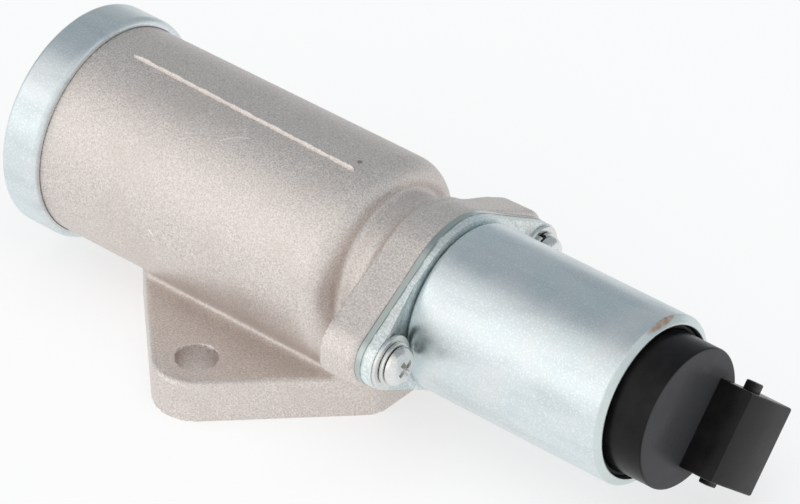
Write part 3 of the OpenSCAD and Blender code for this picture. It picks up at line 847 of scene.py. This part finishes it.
class VALVE_OT_inside(bpy.types.Operator):
    """Finish the pieces inside the body and the solenoid"""

    bl_idname = "valve.inside"
    bl_label = "Inner pieces"

    def spring(self, material):
        """Return spring, copied from the CAD spring with its own mesh."""
        coil = cad_copy("return_spring")
        piece = piece_from(coil, "coil_spring", material, "return_spring")
        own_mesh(piece)

    def execute(self, context):
        steel = inner_metal("turned_steel", (0.46, 0.47, 0.48))
        bright = inner_metal("ground_steel", (0.62, 0.63, 0.65), 0.12, 0.22)
        dark = inner_metal("spring_steel", (0.22, 0.23, 0.25), 0.3, 0.42)
        brass = inner_metal("drawn_brass", (0.62, 0.44, 0.17), 0.2, 0.32)
        bronze = inner_metal("sintered_bronze", (0.42, 0.28, 0.12), 0.4, 0.55)
        rubber = soft_rubber()
        bobbin = moulded_plastic("bobbin_plastic", (0.03, 0.03, 0.028), 0.4, 0.5)
        for material, nodes in (
            (steel, ("guide_plate", "valve_disc", "plunger")),
            (steel, ("front_pole", "pole_core", "rear_flux_washer")),
            (bright, ("valve_stem",)),
            (dark, ("disc_clip",)),
            (brass, ("valve_seat", "guide_sleeve")),
            (bronze, ("stem_bush",)),
            (rubber, ("cap_gasket", "bracket_seal", "connector_seal")),
            (bobbin, ("coil_bobbin",)),
            (open_foam(), ("silencer_foam",)),
            (wound_copper(), ("coil_winding",)),
        ):
            for node in nodes:
                dress(node, material)
        self.spring(dark)
        return {"FINISHED"}


class VALVE_OT_stage(bpy.types.Operator):
    """Set the floor, the light and the camera"""

    bl_idname = "valve.stage"
    bl_label = "Floor, light and camera"

    floor_reach = 4
    floor_glow = 0.65

    def softbox(self, name, direction, distance, size, power):
        """Area light that faces the valve."""
        lamp = bpy.data.lights.new(name, "AREA")
        lamp.shape = "RECTANGLE"
        lamp.size, lamp.size_y = size
        lamp.energy = power
        holder = bpy.data.objects.new(name, lamp)
        bpy.context.scene.collection.objects.link(holder)
        away = Vector(direction).normalized()
        holder.location = LIT_POINT + away * distance
        holder.rotation_mode = "QUATERNION"
        holder.rotation_quaternion = away.to_track_quat("Z", "Y")
        return holder

    def paper(self):
        """Pale floor that shows near white and keeps the valve's shadow."""
        pale = Finish("pale_floor", Base_Color=(0.94, 0.94, 0.94, 1), Roughness=0.8)
        path = pale.nodes.new("ShaderNodeLightPath").outputs
        seen = pale.combined("ADD", path["Is Camera Ray"], path["Is Glossy Ray"])
        seen = pale.combined("ADD", seen, path["Is Transmission Ray"])
        share = pale.combined("MULTIPLY", pale.combined("MINIMUM", seen, 1.0), self.floor_glow)
        glow = pale.nodes.new("ShaderNodeEmission")
        mix = pale.nodes.new("ShaderNodeMixShader")
        pale.links.new(share, mix.inputs["Fac"])
        pale.links.new(pale.shader.outputs["BSDF"], mix.inputs[1])
        pale.links.new(glow.outputs["Emission"], mix.inputs[2])
        pale.links.new(mix.outputs["Shader"], pale.nodes["Material Output"].inputs["Surface"])
        return pale.material

    def sky(self):
        """Studio walls: bright on the near side, dim overhead, greyer on the far side."""
        world = bpy.data.worlds.new("studio")
        bpy.context.scene.world = world
        world.use_nodes = True
        nodes, links = world.node_tree.nodes, world.node_tree.links
        coords = nodes.new("ShaderNodeTexCoord")
        parts = nodes.new("ShaderNodeSeparateXYZ")
        across = nodes.new("ShaderNodeMapRange")
        across.inputs["From Min"].default_value = -1
        ramp = nodes.new("ShaderNodeValToRGB")
        ramp.color_ramp.interpolation = "B_SPLINE"
        stops = (
            (0.0, (1.0, 1.0, 0.99)),
            (0.3, (1.0, 1.0, 0.99)),
            (0.42, (0.7, 0.71, 0.72)),
            (0.5, (0.3, 0.33, 0.36)),
            (0.56, (0.34, 0.38, 0.41)),
            (0.7, (0.4, 0.44, 0.47)),
            (1.0, (0.42, 0.46, 0.48)),
        )
        elements = ramp.color_ramp.elements
        while len(elements) < len(stops):
            elements.new(0.5)
        for element, (position, colour) in zip(elements, stops):
            element.position = position
            element.color = (*colour, 1)
        links.new(coords.outputs["Generated"], parts.inputs["Vector"])
        links.new(parts.outputs["Y"], across.inputs["Value"])
        links.new(across.outputs["Result"], ramp.inputs["Fac"])
        links.new(ramp.outputs["Color"], nodes["Background"].inputs["Color"])
        nodes["Background"].inputs["Strength"].default_value = 1.0

    def execute(self, context):
        scene = bpy.context.scene
        bm = bmesh.new()
        bmesh.ops.create_grid(bm, x_segments=1, y_segments=1, size=self.floor_reach)
        mesh = bpy.data.meshes.new("floor")
        bm.to_mesh(mesh)
        bm.free()
        mesh.materials.append(self.paper())
        floor = bpy.data.objects.new("floor", mesh)
        scene.collection.objects.link(floor)
        self.sky()
        self.softbox("key_softbox", (-0.53, -0.79, 0.31), 1.1, (1.4, 0.9), 1.0)
        fill = self.softbox("overhead_fill", (0.1, -0.15, 1.0), 1.3, (1.6, 1.6), 8)
        fill.visible_glossy = False
        self.softbox("end_softbox", (0.91, 0.15, 0.39), 1.1, (0.9, 0.9), 0.9)
        lens = bpy.data.cameras.new("camera")
        lens.lens = 245.64
        lens.sensor_width = 36
        camera = bpy.data.objects.new("camera", lens)
        camera.location = (0.61994, -0.71752, 0.69719)
        camera.rotation_euler = [math.radians(a) for a in (54.499, -0.957, 40.136)]
        scene.collection.objects.link(camera)
        scene.camera = camera
        scene.view_settings.view_transform = "Standard"
        return {"FINISHED"}


class VALVE_PT_panel(bpy.types.Panel):
    """Steps and settings of the valve"""

    bl_idname = "VALVE_PT_panel"
    bl_label = "Idle air control valve"
    bl_space_type = "VIEW_3D"
    bl_region_type = "UI"
    bl_category = "Valve"

    def draw(self, context):
        for group in settings():
            for name in group.__annotations__:
                self.layout.prop(group, name)
        for step in STEPS:
            self.layout.operator(step.bl_idname)


STEPS = (
    VALVE_OT_finishes,
    VALVE_OT_casting,
    VALVE_OT_sheet_steel,
    VALVE_OT_screws,
    VALVE_OT_connector,
    VALVE_OT_inside,
    VALVE_OT_stage,
)
CLASSES = (ValveColours, ValveSizes, *STEPS, VALVE_PT_panel)


def register():
    for cls in CLASSES:
        bpy.utils.register_class(cls)
    bpy.types.Scene.valve_colours = bpy.props.PointerProperty(type=ValveColours)
    bpy.types.Scene.valve_sizes = bpy.props.PointerProperty(type=ValveSizes)


def unregister():
    del bpy.types.Scene.valve_sizes
    del bpy.types.Scene.valve_colours
    for cls in reversed(CLASSES):
        bpy.utils.unregister_class(cls)


def main():
    register()
    for step in STEPS:
        family, name = step.bl_idname.split(".")
        getattr(getattr(bpy.ops, family), name)()


if __name__ == "__main__":
    main()
